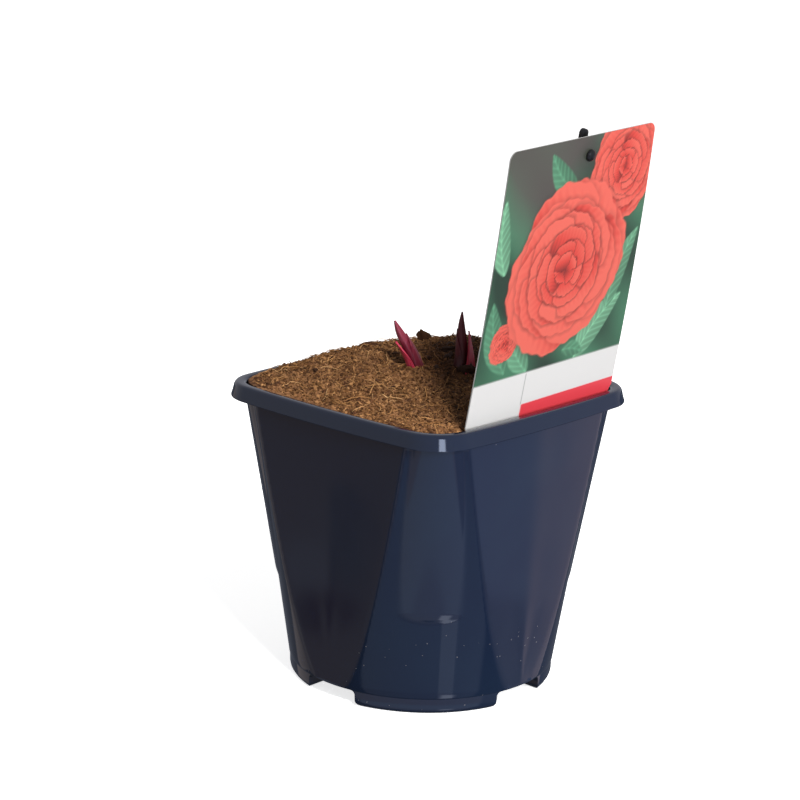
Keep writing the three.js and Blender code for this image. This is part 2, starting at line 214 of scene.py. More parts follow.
def foot_rings():
    """The foot from its flat bottom up its rounded edge to the small step under the wall."""
    rings = []
    for turn in np.radians([0, 22, 45, 68, 90]):
        inset = foot_edge * (1 - math.sin(turn))
        rings.append(ring(foot_edge * (1 - math.cos(turn)), foot_radius - inset))
    rings.append(ring(foot_height - 0.3 * MM, foot_radius + 0.1 * MM))
    rings.append(ring(foot_height, foot_radius + 0.3 * MM))
    return rings


def channel(name, grown, across):
    """A channel under the base, or with grown above nothing, the wall round it."""
    half, top = channel_half_width + grown, foot_height + grown
    fillet, flare = channel_fillet + grown, 0 if grown else foot_edge
    arc = np.radians(np.linspace(0, 90, 7))
    low = [(half + flare, -2 * MM)] + [
        (half + flare * (1 - math.sin(a)), flare * (1 - math.cos(a))) for a in arc if flare]
    high = [(half - fillet * (1 - math.cos(a)), top - fillet * (1 - math.sin(a))) for a in arc]
    right = low + high
    profile = np.array(right + [(-x, z) for x, z in reversed(right)])
    ends = []
    for run in (-2 * foot_radius, 2 * foot_radius):
        if across:
            ends.append([(pot_axis + run, x, z) for x, z in profile])
        else:
            ends.append([(pot_axis + x, run, z) for x, z in profile])
    return stack_rings(name, ends)[0]


lower_levels = np.linspace(foot_height + 0.6 * MM, 40 * MM, 12)
crease_levels = np.linspace(41 * MM, 72 * MM, 40)
upper_levels = np.linspace(74 * MM, pot_height - 2 * MM, 36)
body_levels = np.concatenate([lower_levels, crease_levels, upper_levels])
lining_levels = np.array([141, 110, 53, 43, 30, 10.5]) * MM
skirt_bottom = pot_height - skirt_height
skirt_half_side = rim_half_side + skirt_flare
pot, _ = stack_rings("pot_body", [
    *foot_rings(),
    *[body_ring(z) for z in body_levels],
    rim_ring(pot_height - 1.9 * MM, rim_half_side - skirt_wall, rim_corner - skirt_wall),
    rim_ring(pot_height - 2.2 * MM, rim_half_side - skirt_wall + 0.3 * MM, rim_corner - skirt_wall),
    rim_ring(skirt_bottom + 0.3 * MM, skirt_half_side - skirt_wall, rim_corner + 1.5 * MM),
    rim_ring(skirt_bottom, skirt_half_side - skirt_wall + 0.3 * MM, rim_corner + 1.8 * MM),
    rim_ring(skirt_bottom, skirt_half_side - 0.4 * MM, rim_corner + 2.6 * MM),
    rim_ring(skirt_bottom + 0.1 * MM, skirt_half_side - 0.1 * MM, rim_corner + 2.9 * MM),
    rim_ring(skirt_bottom + 0.4 * MM, skirt_half_side, rim_corner + 3 * MM),
    rim_ring(skirt_bottom + 2.5 * MM, rim_half_side + 1.5 * MM, rim_corner + 2.2 * MM),
    rim_ring(pot_height - 1.6 * MM, rim_half_side + 0.5 * MM, rim_corner + 0.6 * MM),
    rim_ring(pot_height - 0.8 * MM, rim_half_side + 0.1 * MM, rim_corner + 0.2 * MM),
    rim_ring(pot_height - 0.3 * MM, rim_half_side - 0.4 * MM, rim_corner - 0.3 * MM),
    rim_ring(pot_height - 0.05 * MM, rim_half_side - 1.0 * MM, rim_corner - 0.8 * MM),
    rim_ring(pot_height, rim_half_side - 1.7 * MM, rim_corner - 1.2 * MM),
    rim_ring(pot_height, rim_half_side - rim_band + 0.7 * MM, rim_corner - 2.3 * MM),
    rim_ring(pot_height - 0.2 * MM, rim_half_side - rim_band, rim_corner - 2.6 * MM),
    rim_ring(pot_height - 0.9 * MM, rim_half_side - rim_band - 0.6 * MM, rim_corner - 2.8 * MM),
    *[body_ring(z, wall) for z in lining_levels],
    ring(foot_height + 0.4 * MM, foot_radius - wall + 0.3 * MM),
    ring(wall + foot_edge, foot_radius - wall),
    ring(wall, foot_radius - wall - foot_edge),
])
for across in (False, True):
    lining = channel("lining", wall, across)
    base, _ = stack_rings("base", [*foot_rings(), *[body_ring(z) for z in lower_levels]])
    combine(lining, base, "INTERSECT")
    combine(pot, lining, "UNION")
for across in (False, True):
    combine(pot, channel("channel", 0, across), "DIFFERENCE")
for side in range(4):
    turn = side * math.pi / 2
    spot = (pot_axis + drain_from_axis * math.cos(turn), drain_from_axis * math.sin(turn), foot_height)
    drain = add(bpy.ops.mesh.primitive_cylinder_add, spot,
                vertices=40, radius=drain_radius, depth=3 * foot_height)
    bpy.ops.object.transform_apply()
    combine(pot, drain, "DIFFERENCE")
turn_outward(pot)
smooth(pot, 30)

# Painted reflection: the gloss is weaker on the round wall between the cones and the flat sides,
# and stronger in a narrow streak under each cone, a painted highlight. The attribute is above
# nothing where the gloss is stronger.
streak_off = math.radians(7.5)
streak_half = math.radians(3)
streak_radius = 60 * MM
painted_reflection_range = 3
x, y, z = vertices_of(pot).T
off = np.arctan2(y, x - pot_axis) % (math.pi / 2) - math.pi / 4
rise = (z - foot_height) / (skirt_bottom - foot_height)
half_side = body_half_side_foot + (body_half_side_top - body_half_side_foot) * rise
flat_reach = (half_side + side_bow * rise) / np.cos(math.pi / 4 - np.abs(off))
wall_reach = round_radius_foot + round_taper * (z - foot_height)
painted_reflection_level = np.maximum(body_reach(off, z) - wall_reach - crease, wall_reach - flat_reach)
# A painted highlight: a narrow streak of stronger gloss under each cone.
painted_highlight_streak = (streak_half - np.abs(off - streak_off)) * streak_radius
painted_reflection_level = np.maximum(painted_reflection_level, np.where(z < corner_end + corner_end_fade, painted_highlight_streak, -1))
painted_reflection_level = np.where((z < foot_height) | (z > skirt_bottom - MM), 1, painted_reflection_level)
shine = pot.data.attributes.new("painted_reflection_level", "FLOAT", "POINT")
shine.data.foreach_set("value", np.clip(painted_reflection_level / MM, -painted_reflection_range, painted_reflection_range))


def linear(colour):
    """A colour given as sRGB hex, as the linear values that shaders and attributes hold."""
    parts = [int(colour[i:i + 2], 16) / 255 for i in (1, 3, 5)]
    return [c / 12.92 if c <= 0.04045 else ((c + 0.055) / 1.055) ** 2.4 for c in parts] + [1.0]


def output(source):
    """A socket as it stands, or a node's first output."""
    return source.outputs[0] if isinstance(source, bpy.types.Node) else source


def node(material, kind, settings=None, links=None):
    """Adds a shader node. Settings name its properties or its sockets, and links give what feeds
    its other sockets."""
    made = material.node_tree.nodes.new("ShaderNode" + kind)
    for key, value in (settings or {}).items():
        if isinstance(key, str) and hasattr(made, key):
            setattr(made, key, value)
        else:
            made.inputs[key].default_value = value
    for key, source in (links or {}).items():
        material.node_tree.links.new(output(source), made.inputs[key])
    return made


def fit_out(surface, values, links):
    """Sets a surface's plain values and feeds its other sockets."""
    for key, value in values.items():
        surface.inputs[key].default_value = value
    for key, source in links.items():
        surface.id_data.links.new(output(source), surface.inputs[key])


def material_named(name):
    """A bare material with a principled surface; returns the material and the surface's node."""
    made = bpy.data.materials.new(name)
    made.use_nodes = True
    return made, made.node_tree.nodes["Principled BSDF"]


def ramp(material, source, stops):
    """Colours, or greys, at given values of a source."""
    made = node(material, "ValToRGB", links={0: source})
    band = made.color_ramp.elements
    while len(band) < len(stops):
        band.new(0.5)
    for element, (place, colour) in zip(band, stops):
        element.position = place
        element.color = linear(colour)
    return made


# Polypropylene, injection moulded: navy through and through, a hard gloss from the polished
# tool with faint sink marks, fine pale scuffs from handling and specks of dried compost.
plastic, surface = material_named("moulded_polypropylene")
place = node(plastic, "TexCoord").outputs["Object"]
clouds = node(plastic, "TexNoise", {"Scale": 22.0, "Detail": 3.0}, {"Vector": place})
tint = ramp(plastic, clouds, [(0.3, "#192540"), (0.7, "#1c2b44")])
speck = node(plastic, "TexVoronoi", {"Scale": 480.0, "feature": "F1"}, {"Vector": place})
speck_kept = node(plastic, "SeparateColor", links={0: speck.outputs["Color"]})
speck_rare = node(plastic, "Math", {"operation": "GREATER_THAN", 1: 0.9}, {0: speck_kept})
speck_size = node(plastic, "Math", {"operation": "LESS_THAN", 1: 0.16}, {0: speck.outputs["Distance"]})
patches = node(plastic, "TexNoise", {"Scale": 16.0, "Detail": 2.0}, {"Vector": place})
split = node(plastic, "SeparateXYZ", links={0: place})
lowness = node(plastic, "MapRange", {1: 0.08, 2: 0.01, 3: 0.0, 4: 0.22}, {0: split.outputs[2]})
turned = node(plastic, "MapRange", {1: 0.03, 2: 0.06, 3: 0.0, 4: 0.12}, {0: split})
favoured = node(plastic, "Math", {"operation": "ADD"}, {0: turned, 1: lowness})
patchy = node(plastic, "Math", {"operation": "ADD"}, {0: patches, 1: favoured})
dusty = node(plastic, "Math", {"operation": "GREATER_THAN", 1: 0.72}, {0: patchy})
dot = node(plastic, "Math", {"operation": "MULTIPLY"}, {0: speck_rare, 1: speck_size})
dust = node(plastic, "Math", {"operation": "MULTIPLY"}, {0: dot, 1: dusty})
dusted = node(plastic, "MixRGB", {"Color2": linear("#74747c")}, {"Fac": dust, "Color1": tint})
streak = node(plastic, "Mapping", {"Rotation": (0.3, 0.7, 0.4), "Scale": (900.0, 60.0, 40.0)}, {0: place})
scratch = node(plastic, "TexNoise", {"Scale": 1.0, "Detail": 1.0}, {"Vector": streak})
scuffs = ramp(plastic, scratch, [(0.745, "#000000"), (0.78, "#484848")])
scuffed = node(plastic, "MixRGB", {"Color2": linear("#3d4660")}, {"Fac": scuffs, "Color1": dusted})
gloss = node(plastic, "MapRange", {3: 0.05, 4: 0.09}, {0: clouds})
duller = node(plastic, "Math", {"operation": "MULTIPLY_ADD", 1: 0.5}, {0: dust, 2: gloss})
sink = node(plastic, "TexNoise", {"Scale": 30.0, "Detail": 1.0}, {"Vector": place})
ripple = node(plastic, "Bump", {"Strength": 0.25, "Distance": 0.0002}, {"Height": sink})
# The specular level follows the painted reflection attribute.
painted_reflection_read = node(plastic, "Attribute", {"attribute_name": "painted_reflection_level"}).outputs["Fac"]
mirror = node(plastic, "MapRange", {1: -0.25, 2: 0.25, 3: 0.15, 4: 0.5}, {0: painted_reflection_read})
fit_out(surface, {"IOR": 1.5}, {
    "Base Color": scuffed, "Roughness": duller, "Normal": ripple, "Specular IOR Level": mirror})
coat(pot, plastic)
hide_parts("pot")
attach(pot, "root")


# Soil: coir compost that fills the pot to its rim and is heaped towards the back, where the
# crown was set. Its surface is a felt of husk crumbs, curled shreds and loose fibres.
gap = 0.3 * MM
soil_below_rim = 1.8 * MM
mound_peak = (pot_axis - 10 * MM, 28 * MM)
mound_height = 15.5 * MM
mound_reach = (34 * MM, 58 * MM)
mound_turn = math.radians(-32)
soil_rings = 132
card_dip = 3.2 * MM
card_dip_from = 60 * MM
card_dip_run = 3 * MM
# Painted shadow: the compost's colour is darkened round and behind the shoots, where the card's shadow
# falls.
painted_shadow_centre = (pot_axis + 6 * MM, 17 * MM, 155 * MM)
painted_shadow_radii = (24 * MM, 38 * MM)


def soil_height(x, y, share):
    """Height of the compost's mound, which dips where the card is pushed in; share says how far
    out to the wall a point lies."""
    dx, dy = x - mound_peak[0], y - mound_peak[1]
    u = (dx * math.cos(mound_turn) + dy * math.sin(mound_turn)) / mound_reach[0]
    v = (dy * math.cos(mound_turn) - dx * math.sin(mound_turn)) / mound_reach[1]
    near_wall = np.clip((share - 0.8) / 0.2, 0, 1) ** 1.5
    mound = mound_height * np.exp(-(u**2 + v**2) / 2) * (1 - 0.5 * near_wall)
    dip = card_dip * np.clip((x - pot_axis - card_dip_from) / card_dip_run, 0, 1)
    return pot_height - soil_below_rim + mound - dip


def soil_ring(share):
    """A ring of the compost's surface, at a share of the way from the axis to the wall."""
    reach = body_reach(spokes(pot_spokes)[0], pot_height - 4 * MM) - wall - gap
    outline = ring(0, lambda off: reach * share)
    outline[:, 2] = soil_height(outline[:, 0], outline[:, 1], share)
    return outline


def displace(piece, kind, grain, height, group, middle=0.5):
    """Raises a piece's surface by a pattern of grains of one size, where the group says."""
    pattern = bpy.data.textures.new(kind.lower(), kind)
    pattern.noise_scale = grain
    if kind == "CLOUDS":
        pattern.noise_depth = 3
        pattern.noise_type = "HARD_NOISE"
    raised = piece.modifiers.new("displace", "DISPLACE")
    raised.texture = pattern
    raised.texture_coords = "LOCAL"
    raised.direction = "Z"
    raised.mid_level = middle
    raised.strength = height
    raised.vertex_group = group
    pick(piece)
    bpy.ops.object.modifier_apply(modifier=raised.name)


shares = np.linspace(1, 0.004, soil_rings)
soil_base = [ring(wall + gap, foot_radius - wall - foot_edge - gap)]
soil_base.append(ring(wall + gap + foot_edge, foot_radius - wall - gap))
soil_base.append(ring(foot_height + 0.4 * MM, foot_radius - wall - gap))
soil_sides = [body_ring(z, wall + gap) for z in lining_levels[::-1]]
soil_top = [soil_ring(share) for share in shares]
soil, soil_ring_of = stack_rings("soil_body", soil_base + soil_sides + soil_top)
top_start = len(soil_base) + len(soil_sides)
ring_share = shares[np.clip(soil_ring_of - top_start, 0, soil_rings - 1)]
top_share = np.where(soil_ring_of < top_start, 1, ring_share)
top = soil.vertex_groups.new(name="top")
for vertex in np.nonzero(soil_ring_of >= top_start)[0]:
    top.add([int(vertex)], min(1, (1 - top_share[vertex]) * 25), "REPLACE")
displace(soil, "CLOUDS", 12 * MM, 3.6 * MM, "top", 0.35)
displace(soil, "VORONOI", 2.4 * MM, -1.2 * MM, "top")
displace(soil, "CLOUDS", 1.2 * MM, 1.3 * MM, "top")
for across in (False, True):
    combine(soil, channel("hollow", wall + gap, across), "DIFFERENCE")
smooth(soil, 60)
soil_surface = BVHTree.FromObject(soil, bpy.context.evaluated_depsgraph_get())


def ground(x, y):
    """Height of the compost under a point, or the rim's height past its edge."""
    hit = soil_surface.ray_cast((x, y, 2 * pot_height), (0, 0, -1))[0]
    return hit[2] if hit else pot_height - soil_below_rim


def with_painted_shadow(material, place, colour):
    """A compost colour, darker round and behind the shoots: a painted shadow of the card."""
    away = node(material, "VectorMath", {"operation": "DISTANCE", 1: painted_shadow_centre}, {0: place}).outputs["Value"]
    wander = node(material, "TexNoise", {"Scale": 90.0, "Detail": 2.0}, {"Vector": place})
    uneven = node(material, "Math", {"operation": "MULTIPLY_ADD", 1: 16 * MM}, {0: wander, 2: away})
    painted_shadow = node(material, "MapRange", {1: painted_shadow_radii[1], 2: painted_shadow_radii[0], 3: 0.0, 4: 1.0}, {0: uneven})
    return node(material, "MixRGB", {"blend_type": "MULTIPLY", "Color2": linear("#bdb1a9")},
                {"Fac": painted_shadow, "Color1": colour})


# Compost colours: damp coir, from dark cocoa in the pits to dry tan on loose bits.
coir, coir_surface = material_named("coir_compost")
place = node(coir, "TexCoord").outputs["Object"]
coarse = node(coir, "TexNoise", {"Scale": 70.0, "Detail": 4.0}, {"Vector": place})
fine = node(coir, "TexNoise", {"Scale": 620.0, "Detail": 5.0, "Roughness": 0.7}, {"Vector": place})
both = node(coir, "Math", {"operation": "MULTIPLY_ADD", 1: 0.45}, {0: coarse, 2: fine})
browns = ramp(coir, both, [
    (0.52, "#2a1a10"), (0.64, "#4c3220"), (0.74, "#6f4d33"), (0.84, "#8a6444")])
grit = node(coir, "Bump", {"Strength": 0.7, "Distance": 0.0006}, {"Height": fine})
# The compost's colour carries the painted shadow round the shoots.
fit_out(coir_surface, {"Roughness": 0.92, "Specular IOR Level": 0.25}, {
    "Base Color": with_painted_shadow(coir, place, browns), "Normal": grit})
coat(soil, coir)
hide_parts("soil")
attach(soil, "root")


# Loose bits on the compost: husk crumbs, curled shreds and fibres, each shape modelled a few
# times and strewn by a seeded draw. Every bit is pressed into the surface that it lies on.
draw = np.random.default_rng(7)
strewn_up_to = 61 * MM


def crumb_shapes(count, subdivisions=1, ragged=0.35):
    """Lumps of husk about 1 unit across, broken out of round."""
    shapes = []
    for _ in range(count):
        crumb = add(bpy.ops.mesh.primitive_ico_sphere_add, subdivisions=subdivisions, radius=0.5)
        at = vertices_of(crumb)
        at = at * draw.uniform(1 - ragged, 1 + ragged, (len(at), 1))
        at = at * draw.uniform([0.9, 0.6, 0.45], [1.5, 1, 0.8])
        shapes.append((at, [tuple(face.vertices) for face in crumb.data.polygons]))
        bpy.data.objects.remove(crumb)
    return shapes


def fibre_shapes(count, bends, steps, girth):
    """Fibres about 1 unit long, three-sided, pointed at both ends and bent at random."""
    shapes = []
    for _ in range(count):
        t = np.linspace(0, 1, steps + 1)
        bend, phase, arch = draw.uniform(*bends), draw.uniform(0, 6), draw.uniform(0.02, 0.12)
        middle = np.stack([t - 0.5, bend * np.sin(3.5 * t + phase), arch * np.sin(math.pi * t)], 1)
        middle -= middle.mean(0) * [1, 1, 0]
        thick = girth * np.clip(np.sin(math.pi * np.clip(t, 0.02, 0.98)) ** 0.5, 0.25, 1)
        at = []
        for side in range(3):
            turn = 2 * math.pi * side / 3
            at.append(middle + np.outer(thick, [0, math.cos(turn), 0.7 * math.sin(turn)]))
        at = np.stack(at, 1).reshape(-1, 3)
        faces = [(0, 2, 1), (3 * steps, 3 * steps + 1, 3 * steps + 2)]
        for step in range(steps):
            for side in range(3):
                a, b = 3 * step + side, 3 * step + (side + 1) % 3
                faces.append((a, b, b + 3, a + 3))
        shapes.append((at, faces))
    return shapes


def strew(name, shapes, count, sizes, sunk, spread=0.965, tilt=0.5, flat=False):
    """Copies shapes over the compost, but not past the card, as one mesh: sizes gives the least
    and greatest size, sunk the part of a bit that lies under the surface. With flat, a bit
    follows the surface."""
    points, faces, tones, first = [], [], [], 0
    reach_turn = spokes(pot_spokes)[1]
    reach = body_reach(spokes(pot_spokes)[0], pot_height - 4 * MM) - wall - gap
    for index in range(count):
        at, outline = shapes[index % len(shapes)]
        turn = draw.uniform(0, 2 * math.pi)
        limit = np.interp(turn % (2 * math.pi), reach_turn, reach, period=2 * math.pi)
        away = limit * spread * math.sqrt(draw.uniform(0, 1))
        x, y = pot_axis + away * math.cos(turn), away * math.sin(turn)
        if x > pot_axis + strewn_up_to:
            continue
        size = sizes[0] * (sizes[1] / sizes[0]) ** (draw.uniform(0, 1) ** 1.6)
        lean = Euler((draw.normal(0, tilt), draw.normal(0, tilt), draw.uniform(0, 2 * math.pi)))
        moved = at @ np.array(lean.to_matrix()).T * size
        if flat:
            under = np.array([ground(x + px, y + py) for px, py in moved[::3, :2]])
            level = np.repeat(under, 3)
        else:
            level = ground(x, y)
        thickness = moved[:, 2].max() - moved[:, 2].min()
        lift = (0.5 - sunk) * thickness
        rise = level + lift - (0 if flat else moved[:, 2].mean())
        points.append(moved + np.array([x, y, 0]) + np.outer(rise, [0, 0, 1]))
        faces += [tuple(first + corner for corner in face) for face in outline]
        tones += [draw.uniform(0, 1)] * len(moved)
        first += len(moved)
    mesh = bpy.data.meshes.new(name)
    mesh.from_pydata(np.concatenate(points).tolist(), [], faces)
    piece = bpy.data.objects.new(name, mesh)
    bpy.context.scene.collection.objects.link(piece)
    tone = mesh.attributes.new("tone", "FLOAT", "POINT")
    tone.data.foreach_set("value", tones)
    turn_outward(piece)
    smooth(piece, 50)
    return piece


def loose_material(name, stops):
    """Dry husk: matt, its colour different from bit to bit."""
    made, surface = material_named(name)
    tone = node(made, "Attribute", {"attribute_name": "tone"}).outputs["Fac"]
    place = node(made, "TexCoord").outputs["Object"]
    mottle = node(made, "TexNoise", {"Scale": 900.0, "Detail": 2.0}, {"Vector": place})
    mixed = node(made, "Math", {"operation": "MULTIPLY_ADD", 1: 0.3}, {0: mottle, 2: tone})
    eased = node(made, "MapRange", {1: 0.1, 2: 1.25}, {0: mixed})
    # The loose bits carry the same painted shadow round the shoots.
    colour = with_painted_shadow(made, place, ramp(made, eased, stops))
    fit_out(surface, {"Roughness": 0.85, "Specular IOR Level": 0.3}, {"Base Color": colour})
    return made


husk = loose_material("dry_coir_husk", [
    (0.0, "#2c1b10"), (0.3, "#54371f"), (0.7, "#7d5838"), (0.95, "#a47a50"), (1.0, "#c39c6c")])
husk_lump = loose_material("damp_coir_lump", [
    (0.0, "#24150d"), (0.5, "#4a2f1e"), (1.0, "#6e4c31")])
strands = loose_material("dry_coir_fibre", [
    (0.0, "#4a2f1a"), (0.4, "#7c5533"), (0.8, "#a87c4e"), (1.0, "#c9a274")])
clods = strew("soil_clods", crumb_shapes(8, 2, 0.22), 380, (1.6 * MM, 4.2 * MM), sunk=0.6, spread=0.96)
crumbs = strew("soil_crumbs", crumb_shapes(8), 9000, (0.7 * MM, 2.3 * MM), sunk=0.45, spread=0.975)
shreds = strew("soil_shreds", fibre_shapes(10, (0.1, 0.32), steps=4, girth=0.12), 7000,
               (1.2 * MM, 3.6 * MM), sunk=0.25, spread=0.97, tilt=0.55)
fibres = strew("soil_fibres", fibre_shapes(10, (0.08, 0.35), steps=10, girth=0.022), 1100,
               (4 * MM, 13 * MM), sunk=0.1, spread=0.93, tilt=0.12, flat=True)


def lump(spot, size, turn):
    """A broken lump of peat that lies on the compost, its place counted from the pot's axis."""
    piece = add(bpy.ops.mesh.primitive_ico_sphere_add, subdivisions=4, radius=1)
    at = vertices_of(piece)
    for _ in range(7):
        ridge = np.sin(at @ draw.normal(0, 2.6, 3) + draw.uniform(0, 6))
        at = at * (1 + 0.09 * ridge)[:, None]
    at = at * (1 + 0.06 * np.sin(at @ draw.normal(0, 14, 3)))[:, None] * np.array(size) * MM
    at = at @ np.array(Euler((0.1, -0.25, math.radians(turn))).to_matrix()).T
    x, y = pot_axis + spot[0] * MM, spot[1] * MM
    place_vertices(piece, at + [x, y, ground(x, y) + 0.25 * size[2] * MM])
    return piece


# The single lumps, listed one by one: place from the axis and half sizes in mm, and turn in degrees.
lumps = [lump(spot, size, turn) for spot, size, turn in [
    ((-15, 37), (2.8, 1.8, 1.2), 35), ((-9, 42), (2.8, 2.2, 1.4), 60), ((2, 46), (3.0, 2.0, 1.2), 20),
    ((-28.5, 28), (3.5, 2.4, 4.0), 38), ((-50, 8), (4.4, 2.6, 1.9), 42), ((-60, -12), (3.4, 2.2, 1.5), 40),
    ((2, 11), (3.4, 1.5, 1.3), 100), ((-4, 18), (3.6, 1.8, 1.5), 20), ((6, 20), (2.6, 2.0, 1.6), 70),
    ((14, 24), (3.0, 2.0, 1.3), 10), ((-10, 26), (2.4, 1.6, 1.4), 80), ((22, 34), (3.2, 2.2, 1.4), 40),
    ((16.6, 8.4), (4.6, 2.0, 3.1), 42)]]
bpy.ops.object.select_all(action="DESELECT")
for piece in lumps:
    piece.select_set(True)
bpy.context.view_layer.objects.active = lumps[0]
bpy.ops.object.join()
lumps = bpy.context.object
lumps.name = lumps.data.name = "soil_lumps"
smooth(lumps, 60)
lump_tone = lumps.data.attributes.new("tone", "FLOAT", "POINT")
lump_tone.data.foreach_set("value", np.full(len(lumps.data.vertices), 0.35))
finishes = ((lumps, husk_lump), (clods, husk_lump), (crumbs, husk), (shreds, husk), (fibres, strands))
for loose, finish in finishes:
    coat(loose, finish)
    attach(loose, "root")


# Shoots: two peony shoots just through the compost, each a tight spear of bud scales with a
# pointed scale leaf standing off it. Young tissue, crimson and waxy, darker at the base.
def through(knots, count):
    """Points at even shares of a smooth curve through knots, in as many columns as they have."""
    knots = np.array(knots, float)
    chord = np.concatenate([[0], np.cumsum(np.linalg.norm(np.diff(knots[:, :3], axis=0), axis=1))])
    slope = np.gradient(knots, chord, axis=0)
    at = np.linspace(0, chord[-1], count)
    span = np.clip(np.searchsorted(chord, at, side="right") - 1, 0, len(knots) - 2)
    width = (chord[span + 1] - chord[span])[:, None]
    t = (at - chord[span])[:, None] / width
    return ((2 * t**3 - 3 * t**2 + 1) * knots[span] + (t**3 - 2 * t**2 + t) * width * slope[span]
            + (3 * t**2 - 2 * t**3) * knots[span + 1] + (t**3 - t**2) * width * slope[span + 1])


def frames(spine):
    """At each point of a spine, the two directions across it that start from east and north."""
    ahead = np.gradient(spine[:, :3], axis=0)
    ahead /= np.linalg.norm(ahead, axis=1)[:, None]
    east = np.array([1.0, 0, 0]) - ahead * ahead[:, :1]
    east /= np.linalg.norm(east, axis=1)[:, None]
    return east, np.cross(ahead, east)


def grow_spear(name, knots, folds):
    """The closed heart of a shoot, pleated by its rolled scales, along a spine."""
    spine = through(knots, 90)
    east, north = frames(spine)
    turn = 2 * math.pi * np.arange(48) / 48
    rings = []
    for step, (x, y, z, radius) in enumerate(spine):
        share = step / (len(spine) - 1)
        pleat = 1 + 0.05 * share * np.cos(folds * turn + 5 * share) + 0.015 * np.cos(17 * turn)
        reach = (radius * pleat)[:, None]
        rings.append(np.array([x, y, z]) + reach * (np.cos(turn)[:, None] * east[step]
                                                    + np.sin(turn)[:, None] * north[step]))
    return stack_rings(name, rings)[0], spine


def grow_scale(name, spine, start, end, facing, spread, lift, thick, stand):
    """A scale leaf: a blade that wraps the spear at its foot and narrows to a point. It runs from
    start to end, as shares of the spine, and faces a compass angle, spread so many degrees to
    each side. Its point stands lift off the spear and its foot stands stand off it."""
    east, north = frames(spine)
    rows, columns = 44, 21
    blade = add(bpy.ops.mesh.primitive_grid_add, x_subdivisions=columns - 1, y_subdivisions=rows - 1, size=2)
    blade.name = blade.data.name = name
    u, v = vertices_of(blade)[:, :2].T
    v = (v + 1) / 2
    t = (start + (end - start) * v) * (len(spine) - 1)
    spot = [np.interp(t, np.arange(len(spine)), column) for column in spine.T]
    side = [np.interp(t, np.arange(len(spine)), column) for column in np.hstack([east, north]).T]
    half = math.radians(spread) * np.clip(1 - v**2.2, 0.03, 1)
    angle = math.radians(facing) + u * half
    keel = 0.35 * MM * np.exp(-(u / 0.16) ** 2) * (1 - v)
    ribs = 0.12 * MM * np.cos(14 * u) * (1 - v)
    reach = spot[3] + (thick / 2 + lift * v**2 + stand * (1 - v)) + keel + ribs
    at = [spot[i] + reach * (np.cos(angle) * side[i] + np.sin(angle) * side[3 + i]) for i in range(3)]
    place_vertices(blade, np.stack(at, 1))
    turn_outward(blade)
    leaf = blade.modifiers.new("thickness", "SOLIDIFY")
    leaf.thickness = thick
    leaf.offset = 0
    bpy.ops.object.modifier_apply(modifier=leaf.name)
    return blade


def shoot_material(name, stops, roughness):
    """Waxy skin of a young scale: fine ribs lengthwise, blushed and darker by patches."""
    made, surface = material_named(name)
    place = node(made, "TexCoord").outputs["Object"]
    height = node(made, "SeparateXYZ", links={0: place}).outputs[2]
    rise = node(made, "MapRange", {1: 0.150, 2: 0.178}, {0: height})
    stretch = node(made, "Mapping", {"Scale": (1.0, 1.0, 0.12)}, {0: place})
    veins = node(made, "TexNoise", {"Scale": 900.0, "Detail": 2.0}, {"Vector": stretch})
    blush = node(made, "TexNoise", {"Scale": 160.0, "Detail": 2.0}, {"Vector": place})
    mixed = node(made, "Math", {"operation": "MULTIPLY_ADD", 1: 0.5}, {0: blush, 2: rise})
    veined = node(made, "Math", {"operation": "MULTIPLY_ADD", 1: 0.35}, {0: veins, 2: mixed})
    ribs = node(made, "Bump", {"Strength": 0.3, "Distance": 0.0003}, {"Height": veins})
    fit_out(surface, {
        "Roughness": roughness, "Subsurface Weight": 0.15, "Subsurface Scale": 1.0,
        "Subsurface Radius": (0.002, 0.0006, 0.0004),
    }, {"Base Color": ramp(made, veined, stops), "Normal": ribs})
    return made


crimson = shoot_material("waxy_bud_scale", [
    (0.25, "#290a0f"), (0.6, "#561220"), (1.0, "#6c1c2d"), (1.5, "#7f3040")], 0.34)
# Painted light and shade: a brighter copy of the crimson for each shoot's second scale leaf, painted light,
# and a darker copy for the right shoot, painted shade where the card's shadow falls.
crimson_painted_lit = shoot_material("bud_scale_painted_lit", [
    (0.2, "#5a1520"), (0.6, "#a52c42"), (1.2, "#c04058")], 0.34)
crimson_painted_shade = shoot_material("bud_scale_painted_shade", [
    (0.3, "#26060a"), (0.8, "#470d15"), (1.2, "#5e1723")], 0.45)

# For each shoot: its foot from the pot's axis and the height of the compost there, the knots of its
# spine with their radius, and what grow_scale takes for its two scales, all in mm and degrees.
shoots = {
    "left": ((-2.2, -6.4), 154.51, [
        (3, 2, -32.5, 3), (2, 1.6, -15, 3.1), (0.6, 0.4, -5, 3), (-1.4, -1.2, 3, 2.8),
        (-4.2, -3.7, 10.5, 2.4), (-6.9, -6, 17, 1.7), (-8.4, -7.4, 21.5, 0.5)],
        [(0.5, 0.86, 40, 88, 0, 0.6, 0), (0.48, 0.84, 246, 66, 1.3, 0.8, 0.3)]),
    "right": ((12.4, 9.8), 155.06, [
        (-2, -3, -32.5, 3), (-1.2, -1.8, -15, 3.1), (-0.4, -0.5, -5, 3.1), (0, 0, 3, 2.8),
        (-0.3, -0.3, 12, 2.3), (-0.6, -0.6, 20, 1.5), (-0.5, -0.5, 25.8, 0.4)],
        [(0.5, 0.86, 225, 90, -0.1, 0.6, 0), (0.48, 0.84, 36, 66, 1.1, 0.8, 3.0)]),
}
shoot_pieces = []
